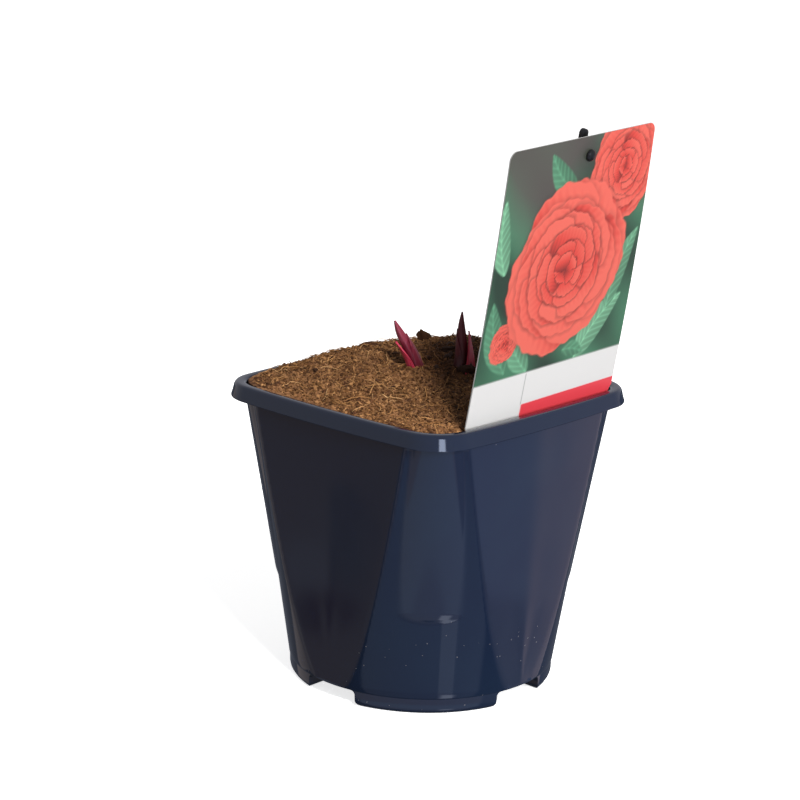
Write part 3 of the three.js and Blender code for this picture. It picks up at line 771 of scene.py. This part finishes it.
for side, (spot, soil_at, knots, scales) in shoots.items():
    foot = np.array([pot_axis / MM + spot[0], spot[1], soil_at, 0])
    heart, spine = grow_spear(f"shoot_{side}_bud", (np.array(knots) + foot) * MM, 5)
    smooth(heart, 60)
    # The right shoot's heart has the painted-shade copy of the crimson.
    coat(heart, crimson_painted_shade if side == "right" else crimson)
    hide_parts(f"shoot_{side}")
    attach(heart, "root")
    shoot_pieces.append(heart)
    for index, (start, end, facing, spread, lift, thick, stand) in enumerate(scales):
        name = f"shoot_{side}_scale_{index + 1}"
        blade = grow_scale(name, spine, start, end, facing, spread, lift * MM, thick * MM, stand * MM)
        smooth(blade, 50)
        # Second scale leaves have the painted-lit copy, and the right shoot's first scale has the
        # painted-shade copy.
        coat(blade, crimson_painted_lit if index else crimson_painted_shade if side == "right" else crimson)
        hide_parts(f"shoot_{side}")
        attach(blade, "root")
        shoot_pieces.append(blade)


# Picture card: a sheet of white polypropylene, die cut with round corners and a hole for the
# stud, printed on one face, a little bowed and leaning out over the rim.
card_foot = (pot_axis + 64.8 * MM, 4.9 * MM, pot_height)
card_turn = Euler((math.radians(2.2), math.radians(10.3), math.radians(1.6)), "XYZ")
card_width = 105 * MM
card_height = 148 * MM
card_thickness = 0.6 * MM
card_corner = 4 * MM
card_buried = 15.8 * MM
card_foot_taper = (9 * MM, 17 * MM)
card_bow = 1.5 * MM
card_twist = math.radians(1.9)
card_hole = (4.5 * MM, 123.2 * MM)
hole_radius = 1.9 * MM
card_cells = (186, 262)
white_foot = 37.8
red_band = 21.2
rule_at = 36.9


def in_card_frame(piece):
    """Sets a piece that was made flat and upright into the card's place and lean."""
    pick(piece)
    piece.matrix_world = Matrix.Translation(card_foot) @ card_turn.to_matrix().to_4x4()
    bpy.ops.object.transform_apply()


def card_bend(across, up):
    """How far the card stands proud of its flat frame."""
    along = 2 * (up + card_buried) / card_height - 1
    twisted = math.tan(card_twist) * (1 - along) * across / 2
    return card_bow * (1 - along**2) * (1 + 0.25 * across / card_width) + twisted


def cut_outline(across, up):
    """Draws grid points in to the card's round corners and out of its hole."""
    half = np.array([card_width / 2, card_height / 2])
    middle = card_height / 2 - card_buried
    point = np.stack([across, up - middle], 1)
    over = np.maximum(np.abs(point) - (half - card_corner), 0)
    square = np.maximum(over[:, 0], over[:, 1])
    length = np.hypot(over[:, 0], over[:, 1])
    drawn = np.sign(point) * over * np.where(length > 0, square / np.maximum(length, 1e-9), 1)[:, None]
    point = np.sign(point) * np.minimum(np.abs(point), half - card_corner) + drawn
    offset = point - [card_hole[0], card_hole[1] - middle]
    away = np.maximum(np.hypot(*offset.T), 1e-6)
    ring_reach = 3 * hole_radius
    pushed = np.where(away < ring_reach, hole_radius + away * (1 - hole_radius / ring_reach), away)
    point = point + offset * (pushed / away - 1)[:, None]
    up = point[:, 1] + middle
    low = np.clip(1 - (up + card_buried) / card_foot_taper[1], 0, 1)
    return point[:, 0] * (1 - low * card_foot_taper[0] / half[0]), up


def soft_step(value, edge, width):
    return np.clip((value - edge) / width + 0.5, 0, 1)


def blend_in(paint, colour, cover):
    """Lays a colour, one for all points or one for each, over the paint."""
    colour = np.broadcast_to(np.asarray(colour, float), paint.shape)
    return paint * (1 - cover[:, None]) + colour * cover[:, None]


def paint_leaf(paint, x, y, root, tip, width, colour):
    """A lance leaf with a pale midrib and slanted side veins."""
    root, tip = np.array(root), np.array(tip)
    along = tip - root
    length = np.hypot(*along)
    s = ((x - root[0]) * along[0] + (y - root[1]) * along[1]) / length**2
    t = ((y - root[1]) * along[0] - (x - root[0]) * along[1]) / length
    t = t - 0.08 * length * np.sin(math.pi * s)
    half = width * np.clip(np.sin(math.pi * np.clip(s, 0, 1) ** 0.8), 0, 1) ** 0.8
    cover = soft_step(half - np.abs(t), 0, 0.7) * (s > 0) * (s < 1)
    veins = 0.5 + 0.5 * np.sin(2 * math.pi * (s * length / 4.2 - np.abs(t) / 3.5))
    light = 0.75 + 0.3 * veins**3 + 0.35 * np.exp(-(t / 0.5) ** 2) + 0.25 * np.tanh(t / width)
    return blend_in(paint, np.array(colour)[None, :] * light[:, None], cover)


def paint_bloom(paint, x, y, centre, radius, seed):
    """A full double bloom: whorls of broad ruffled petals laid from the outside in."""
    draw = np.random.default_rng(seed)
    dark, mid, light = (np.array(linear(c)[:3]) for c in ("#4e1a16", "#ec4c40", "#fe7463"))
    whorls = [(9, 1.0, 0.62), (8, 0.84, 0.52), (8, 0.66, 0.42),
              (7, 0.48, 0.32), (6, 0.32, 0.24), (5, 0.18, 0.16)]
    for order, (count, reach, breadth) in enumerate(whorls):
        phase = draw.uniform(0, 6.28)
        for petal in range(count):
            turn = phase + 2 * math.pi * petal / count + draw.normal(0, 0.12)
            size = radius * reach * draw.uniform(0.88, 1.06)
            px = ((x - centre[0]) * math.cos(turn) + (y - centre[1]) * math.sin(turn)) / size
            py = ((y - centre[1]) * math.cos(turn) - (x - centre[0]) * math.sin(turn)) / (radius * breadth)
            ruffle = 0.05 * np.sin(9 * py + draw.uniform(0, 6)) + 0.03 * np.sin(21 * py + draw.uniform(0, 6))
            tip = np.where(px > 0.45, ((px - 0.45) / 0.55) ** 2, 0)
            flank = (py / (0.35 + 0.65 * np.clip(px * 1.7, 0, 1))) ** 2
            edge = 1 - ruffle - tip - flank
            cover = soft_step(edge, 0, 0.05) * (px > 0)
            veins = 0.5 + 0.5 * np.sin(34 * py + 4 * np.sin(5 * px + order))
            lit = np.clip(0.15 + 0.95 * px - 0.35 * py + 0.12 * veins + draw.normal(0, 0.08), 0, 1.2)
            fold = np.exp(-((edge - 0.02) / 0.06) ** 2)
            lit = lit * (1 - 0.05 * order * draw.uniform(0.4, 1.6))
            colour = dark + (mid - dark) * np.clip(lit * 1.6, 0, 1)[:, None]
            colour = colour + (light - mid) * np.clip((lit - 0.62) * 2 + 0.35 * fold, 0, 1)[:, None]
            shade = soft_step(edge, -0.12, 0.3) * (px > 0) * (0.2 + 0.13 * order)
            paint = blend_in(paint, dark * 0.6, shade)
            paint = blend_in(paint, colour, cover)
    return paint


def card_paint(across, up):
    """Colours of the printed face: red blooms and leaves on a dark blurred ground over a white
    foot, which has a plain red band at the right of a grey rule. Its places are in mm from the
    card's lower left corner."""
    x = (across + card_width / 2) / MM
    y = (up + card_buried) / MM
    blur = np.sin(x / 13 + 1.1) * np.sin(y / 17 + 0.4) + 0.6 * np.sin(x / 7.3 + y / 9.1)
    greens = [np.array(linear(c)[:3]) for c in ("#22402f", "#4f8f6c", "#8fd0a6", "#5c5450")]
    paint = greens[0] + (greens[1] - greens[0]) * np.clip(0.5 + 0.5 * blur, 0, 1)[:, None]
    murk = np.clip((y - 112) / 30 + 0.6 * np.sin(x / 15), 0, 1)
    paint = blend_in(paint, greens[3], 0.85 * murk)
    leaves = [((20, 40), (4, 78), 7), ((36, 38), (20, 62), 6), ((70, 38), (98, 66), 8),
              ((60, 44), (76, 40), 4), ((88, 60), (103, 98), 7), ((8, 90), (2, 126), 6),
              ((52, 122), (30, 143), 6), ((66, 118), (96, 138), 7)]
    for order, (root, tip, width) in enumerate(leaves):
        colour = greens[1] + (greens[2] - greens[1]) * (0.2 + 0.6 * (order % 3) / 2)
        paint = paint_leaf(paint, x, y, root, tip, width, colour)
    for centre, radius, seed in (((86, 130), 27, 5), ((16, 56), 10, 9), ((52, 86), 42, 3)):
        paint = paint_bloom(paint, x, y, centre, radius, seed)
    white, red, grey = (np.array(linear(c)[:3]) for c in ("#f6f5f3", "#fb4d58", "#9a9a98"))
    paint = blend_in(paint, white, soft_step(-y, -white_foot, 0.3))
    paint = blend_in(paint, red, soft_step(-y, -red_band, 0.3) * soft_step(x, rule_at + 0.3, 0.3))
    rule = soft_step(-np.abs(x - rule_at), -0.25, 0.2)
    return blend_in(paint, grey, rule * (y < white_foot - 0.8) * (y > red_band))


card = add(bpy.ops.mesh.primitive_grid_add,
           x_subdivisions=card_cells[0], y_subdivisions=card_cells[1], size=1)
card.name = card.data.name = "label_card_sheet"
flat = vertices_of(card)
card_middle = card_height / 2 - card_buried
across, up = cut_outline(flat[:, 0] * card_width, flat[:, 1] * card_height + card_middle)
forward = card_bend(across, up) + card_thickness / 2
place_vertices(card, np.stack([forward, across, up], 1))
ink = card.data.attributes.new("ink", "FLOAT_COLOR", "POINT")
ink.data.foreach_set("color", np.hstack([card_paint(across, up), np.ones((len(across), 1))]).ravel())
bpy.ops.object.mode_set(mode="EDIT")
bpy.ops.mesh.select_all(action="SELECT")
bpy.ops.mesh.extrude_region_move(TRANSFORM_OT_translate={"value": (-card_thickness, 0, 0)})
bpy.ops.object.mode_set(mode="OBJECT")
turn_outward(card)
in_card_frame(card)
smooth(card, 40)


def card_material():
    """Polypropylene sheet: satin from the calender, with offset inks under a clear varnish."""
    made, surface = material_named("printed_polypropylene_sheet")
    paint = node(made, "Attribute", {"attribute_name": "ink"}).outputs["Color"]
    normal = node(made, "NewGeometry").outputs["Normal"]
    facing = node(made, "SeparateXYZ", links={0: normal})
    printed = node(made, "Math", {"operation": "GREATER_THAN", 1: 0.5}, {0: facing})
    base = node(made, "MixRGB", {"Color1": linear("#efeeea")}, {"Fac": printed, "Color2": paint})
    place = node(made, "TexCoord").outputs["Object"]
    wave = node(made, "TexNoise", {"Scale": 45.0, "Detail": 1.0}, {"Vector": place})
    lay = node(made, "Bump", {"Strength": 0.1, "Distance": 0.0004}, {"Height": wave})
    fit_out(surface, {"Roughness": 0.38, "IOR": 1.49}, {"Base Color": base, "Normal": lay})
    return made


coat(card, card_material())
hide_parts("label_card")
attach(card, "root")


# Stake: a flat black polypropylene stick behind the card, moulded with a point below, a round
# top and a stud whose domed head snaps through the card's hole.
stake_width = 4.2 * MM
stake_thickness = 2.6 * MM
stake_centre = -4.7 * MM
stake_point = 12 * MM
stake_top = 134 * MM
stake_foot = -52 * MM
stud_radius = 1.6 * MM
head_radius = 2.8 * MM
head_depth = 2.1 * MM
head_edge = 0.25 * MM


def stake_outline(inset):
    """The stick's outline, pointed below and round above, drawn in by an inset."""
    half = stake_width / 2 - inset
    arc = np.radians(np.linspace(0, 180, 25))
    shoulder = stake_top - stake_width / 2
    across = np.concatenate([half * np.cos(arc), [-half, -0.15 * half, 0.15 * half, half]])
    point_up, low = stake_foot + stake_point, stake_foot + inset
    up = np.concatenate([shoulder + half * np.sin(arc), [point_up, low, low, point_up]])
    return across + card_hole[0], up


# Its edges are rounded: how far each layer is drawn in, by its share of the half thickness.
layers = []
for depth, inset in ((-1, 0.45), (-0.93, 0.2), (-0.8, 0.06), (-0.6, 0),
                     (0.6, 0), (0.8, 0.06), (0.93, 0.2), (1, 0.45)):
    across, up = stake_outline(inset * MM)
    behind = np.full(len(across), stake_centre + depth * stake_thickness / 2)
    layers.append(np.stack([behind, across, up], 1))
stake, _ = stack_rings("label_stake_stick", layers)
head_back = card_bend(*card_hole) + card_thickness / 2 + gap
reaches = [(stake_centre, stud_radius), (head_back, stud_radius), (head_back, 0.93 * head_radius),
           (head_back + head_edge, head_radius)]
for rise in np.radians([15, 30, 45, 60, 72, 82]):
    dome = head_back + head_edge + (head_depth - head_edge) * math.sin(rise)
    reaches.append((dome, head_radius * math.cos(rise)))
turn = 2 * math.pi * np.arange(40) / 40
rounds = []
for forward, reach in reaches:
    across, up = card_hole[0] + reach * np.cos(turn), card_hole[1] + reach * np.sin(turn)
    rounds.append(np.stack([np.full(len(turn), forward), across, up], 1))
stud, _ = stack_rings("stud", rounds)
combine(stake, stud, "UNION")
turn_outward(stake)
in_card_frame(stake)
smooth(stake, 40)

# Black polypropylene, moulded: satin, with faint flow marks that catch the light unevenly.
black, black_surface = material_named("satin_black_polypropylene")
place = node(black, "TexCoord").outputs["Object"]
flow = node(black, "TexNoise", {"Scale": 300.0, "Detail": 2.0}, {"Vector": place})
blacks = ramp(black, flow, [(0.3, "#0c0c0e"), (0.7, "#18181b")])
wear = node(black, "MapRange", {3: 0.25, 4: 0.42}, {0: flow})
skin = node(black, "Bump", {"Strength": 0.2, "Distance": 0.0002}, {"Height": flow})
fit_out(black_surface, {}, {"Base Color": blacks, "Roughness": wear, "Normal": skin})
coat(stake, black)
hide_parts("label_stake")
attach(stake, "root")


# Crown: the buried rootstock keeps its own mesh and gets the look of corky root bark.
bark, bark_surface = material_named("root_bark")
place = node(bark, "TexCoord").outputs["Object"]
rough = node(bark, "TexNoise", {"Scale": 220.0, "Detail": 5.0}, {"Vector": place})
barks = ramp(bark, rough, [(0.35, "#3b2417"), (0.65, "#8a5f41")])
cork = node(bark, "Bump", {"Strength": 0.8, "Distance": 0.001}, {"Height": rough})
fit_out(bark_surface, {"Roughness": 0.85}, {"Base Color": barks, "Normal": cork})
coat(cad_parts["crown"], bark)


# Studio: a pale floor that runs on past the view, a broad soft key from the right, a small high
# lamp that only the plant and its compost catch, and a painted room that only the gloss
# mirrors. The camera stands at the photograph's place. None of it is part of the object.
floor = add(bpy.ops.mesh.primitive_plane_add, size=60)
floor.name = "floor"
paper, paper_surface = material_named("floor_paper")
in_view = node(paper, "LightPath").outputs["Is Camera Ray"]
tone = node(paper, "MixRGB", {"Color1": linear("#5a5a5c"), "Color2": linear("#fbfbfb")}, {"Fac": in_view})
glow = node(paper, "Math", {"operation": "MULTIPLY", 1: 0.75}, {0: in_view})
fit_out(paper_surface, {"Emission Color": linear("#ffffff"), "Roughness": 0.9}, {
    "Base Color": tone, "Emission Strength": glow})
coat(floor, paper)
aim_height = 120 * MM


def aim(light, target):
    """Turns a light to shine at a point."""
    gaze = np.array(target) - np.array(light.location)
    yaw = math.atan2(gaze[1], gaze[0]) - math.pi / 2
    pitch = math.atan2(gaze[2], math.hypot(gaze[0], gaze[1])) + math.pi / 2
    light.rotation_euler = (pitch, 0, yaw)


def panel(name, azimuth, elevation, distance, size, watts):
    """A soft panel light at a compass angle and height, aimed at the pot."""
    turn, rise = math.radians(azimuth), math.radians(elevation)
    level = distance * math.cos(rise)
    spot = (level * math.cos(turn), level * math.sin(turn), aim_height + distance * math.sin(rise))
    light = add(bpy.ops.object.light_add, spot, type="AREA")
    light.name = name
    light.data.shape = "RECTANGLE"
    light.data.size, light.data.size_y = size
    light.data.energy = watts
    aim(light, (0, 0, aim_height))
    return light


sky = panel("sky", azimuth=-28, elevation=42, distance=1.8, size=(0.3, 0.3), watts=46)
key = panel("key", azimuth=-6, elevation=16, distance=1.8, size=(0.8, 0.8), watts=25)
for light in (sky, key):
    light.visible_glossy = False
floor.visible_glossy = False
topped = bpy.data.collections.new("lit_from_above")
for piece in (soil, lumps, clods, crumbs, shreds, fibres, *shoot_pieces, floor):
    topped.objects.link(piece)
sky.light_linking.receiver_collection = topped

# What the gloss mirrors: the room about the pot, as soft-edged fields of radiance, each painted
# over those before it. A field has its colour, its azimuths counted from the camera's, its
# elevations and how soft its upright sides are, in degrees.
camera_turn = 47.5
mirror_fields = [
    ((0.50, 0.50, 0.55), -180, 180, 0, 90, 1),
    ((0.52, 0.48, 0.55), -60, 60, -31, 0, 4),
    ((0.56, 0.64, 0.84), -56, 56, -41, -31, 5),
    ((0.46, 0.48, 0.62), -56, 56, -60, -39.5, 5),
    ((1.70, 1.85, 2.30), 21, 35, -58, -43, 5),
    ((0.37, 0.41, 0.58), 57, 130, -32, -5, 6),
    ((0.85, 0.72, 0.80), 100.4, 130, -32, -5, 2),
    ((0.26, 0.26, 0.32), 57, 100, -32, -22.6, 2),
    ((0.45, 0.40, 0.40), -140, -92, -32, 0, 3),
    ((0.30, 0.25, 0.24), -92, -70, -32, 0, 2),
    ((0.08, 0.09, 0.12), -87.5, -86.9, -22.7, -20.2, 0.5),
    ((0.36, 0.35, 0.40), -89.2, -88.0, -22.8, -21.6, 0.6),
    ((0.11, 0.04, 0.02), -88.9, -87.0, -23.8, -22.9, 0.4),
    ((6.40, 7.30, 9.40), 7, 22, 10, 30, 5),
]
world = bpy.data.worlds.new("studio")
bpy.context.scene.world = world
world.use_nodes = True
direction = node(world, "TexCoord").outputs["Generated"]
parts = node(world, "SeparateXYZ", links={0: direction})
compass = node(world, "Math", {"operation": "ARCTAN2"}, {0: parts.outputs[1], 1: parts})
azimuth = node(world, "Math", {"operation": "MULTIPLY_ADD", 1: 180 / math.pi, 2: camera_turn}, {0: compass})
azimuth = node(world, "Math", {"operation": "WRAP", 1: 180.0, 2: -180.0}, {0: azimuth})
rise = node(world, "Math", {"operation": "ARCSINE"}, {0: parts.outputs[2]})
elevation = node(world, "Math", {"operation": "MULTIPLY", 1: 180 / math.pi}, {0: rise})


def edge(value, start, end):
    """Goes softly from 0 to 1 as a value goes from start to end."""
    return node(world, "MapRange", {"interpolation_type": "SMOOTHSTEP", 1: start, 2: end}, {0: value})


def mirrored(picture, radiance, left, right, low, high, soft):
    """Paints a field of the room over the picture of it."""
    field = edge(azimuth, left - soft / 2, left + soft / 2)
    for value, start, end in ((azimuth, right + soft / 2, right - soft / 2),
                              (elevation, low - 0.2, low + 0.2), (elevation, high + 0.2, high - 0.2)):
        field = node(world, "Math", {"operation": "MULTIPLY"}, {0: field, 1: edge(value, start, end)})
    return node(world, "MixRGB", {"Color2": (*radiance, 1.0)}, {"Fac": field, "Color1": picture})


picture = node(world, "RGB")
picture.outputs[0].default_value = (0.12, 0.13, 0.16, 1.0)
for field in mirror_fields:
    picture = mirrored(picture, *field)
backdrop = world.node_tree.nodes["Background"]
backdrop.inputs[0].default_value = linear("#ffffff")
backdrop.inputs[1].default_value = 0.28
gloss_seen = node(world, "Background", links={0: picture})
seen = node(world, "Background", {0: linear("#ffffff"), 1: 1.0})
path = node(world, "LightPath")
chosen = node(world, "MixShader", links={0: path.outputs["Is Glossy Ray"], 1: backdrop, 2: gloss_seen})
final = node(world, "MixShader", links={0: path.outputs["Is Camera Ray"], 1: chosen, 2: seen})
fit_out(world.node_tree.nodes["World Output"], {}, {"Surface": final})
bpy.context.scene.view_settings.view_transform = "Standard"

view_azimuth = math.radians(42.49)
view_elevation = math.radians(15.06)
view_roll = math.radians(1.52)
view_distance = 1103.6 * MM
view_lens = 102.88
pot_off_centre = (13.84 * MM, 8.33 * MM)
back = np.array([
    math.sin(view_azimuth) * math.cos(view_elevation),
    -math.cos(view_azimuth) * math.cos(view_elevation),
    math.sin(view_elevation),
])
level = np.array([math.cos(view_azimuth), math.sin(view_azimuth), 0.0])
upright = np.cross(back, level)
right = math.cos(view_roll) * level + math.sin(view_roll) * upright
up = math.cos(view_roll) * upright - math.sin(view_roll) * level
rim_centre = np.array([pot_axis, 0, pot_height])
eye = rim_centre - pot_off_centre[0] * right - pot_off_centre[1] * up + view_distance * back
camera = add(bpy.ops.object.camera_add)
camera.data.lens = view_lens
camera.data.sensor_width = 36
pose = np.eye(4)
pose[:3, 0], pose[:3, 1], pose[:3, 2], pose[:3, 3] = right, up, back, eye
camera.matrix_world = Matrix(pose.tolist())
bpy.context.scene.camera = camera
